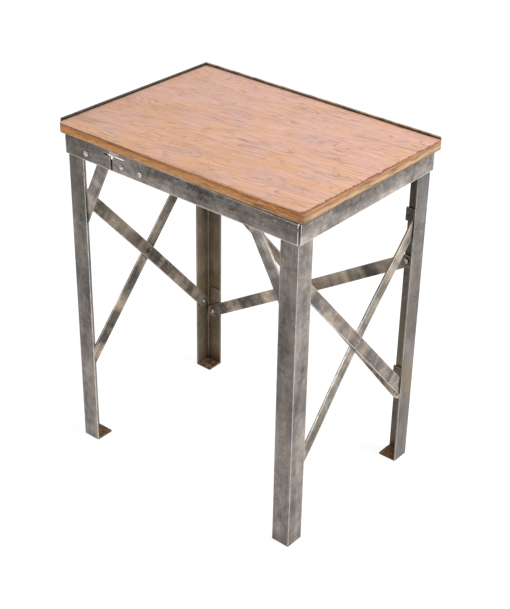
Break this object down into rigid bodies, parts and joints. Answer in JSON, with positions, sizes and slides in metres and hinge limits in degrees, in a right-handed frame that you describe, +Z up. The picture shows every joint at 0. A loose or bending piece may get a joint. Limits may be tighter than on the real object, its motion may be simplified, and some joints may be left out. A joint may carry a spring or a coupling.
{
  "type": "industrial work table",
  "caption": "Small industrial work table: angle-steel legs and apron, riveted cross braces on both ends and the back, open front with knee braces, plywood top with a steel lip.",
  "frame": {"origin": "on the floor under the centre of the table's bounding box", "axes": "+X along the table to the right, -Y towards the open front, +Z up"},
  "size_m": [0.5656, 0.4038, 0.696],
  "materials": {
    "worn_steel": "bare mill steel, brushed and worn",
    "brown_steel": "bare steel with a brown patina",
    "dark_strip_steel": "dark patinated steel with a worn top edge",
    "bright_steel": "polished rivet and screw heads",
    "plywood": "worn oiled plywood"
  },
  "bodies": {
    "root": {"back_apron": "brown_steel", "back_board_screw_1": "bright_steel", "back_board_screw_2": "bright_steel", "back_brace_falling": "brown_steel", "back_brace_falling_rivet_a": "worn_steel", "back_brace_falling_rivet_b": "worn_steel", "back_brace_rising": "worn_steel", "back_brace_rising_rivet_a": "worn_steel", "back_brace_rising_rivet_b": "worn_steel", "back_crossing_rivet": "worn_steel", "back_edge_strip": "dark_strip_steel", "back_left_foot_plate": "brown_steel", "back_left_leg": "worn_steel", "back_left_lower_tab": "brown_steel", "back_left_upper_tab": "brown_steel", "back_right_foot_plate": "brown_steel", "back_right_leg": "worn_steel", "back_right_lower_tab": "brown_steel", "back_right_upper_tab": "brown_steel", "back_strip_screw_1": "bright_steel", "back_strip_screw_2": "bright_steel", "front_apron": "worn_steel", "front_apron_corner_piece": "worn_steel", "front_board_screw_1": "bright_steel", "front_board_screw_2": "bright_steel", "front_left_foot_plate": "brown_steel", "front_left_leg": "worn_steel", "front_right_foot_plate": "brown_steel", "front_right_leg": "worn_steel", "left_apron": "brown_steel", "left_brace_falling": "worn_steel", "left_brace_falling_rivet_a": "worn_steel", "left_brace_falling_rivet_b": "worn_steel", "left_brace_rising": "worn_steel", "left_brace_rising_rivet_a": "worn_steel", "left_brace_rising_rivet_b": "worn_steel", "left_crossing_rivet": "worn_steel", "left_edge_strip": "dark_strip_steel", "left_knee_brace": "worn_steel", "left_knee_brace_rivet_apron": "worn_steel", "left_knee_brace_rivet_leg": "worn_steel", "left_strip_screw_1": "bright_steel", "left_strip_screw_2": "bright_steel", "right_apron": "worn_steel", "right_brace_falling": "worn_steel", "right_brace_falling_rivet_a": "worn_steel", "right_brace_falling_rivet_b": "worn_steel", "right_brace_rising": "worn_steel", "right_brace_rising_rivet_a": "worn_steel", "right_brace_rising_rivet_b": "worn_steel", "right_crossing_rivet": "worn_steel", "right_knee_brace": "worn_steel", "right_knee_brace_rivet_apron": "worn_steel", "right_knee_brace_rivet_leg": "worn_steel", "splice_bar": "worn_steel", "splice_rivet_1": "bright_steel", "splice_rivet_2": "bright_steel", "splice_rivet_3": "bright_steel", "top_board": "plywood"}
  },
  "joints": []
}
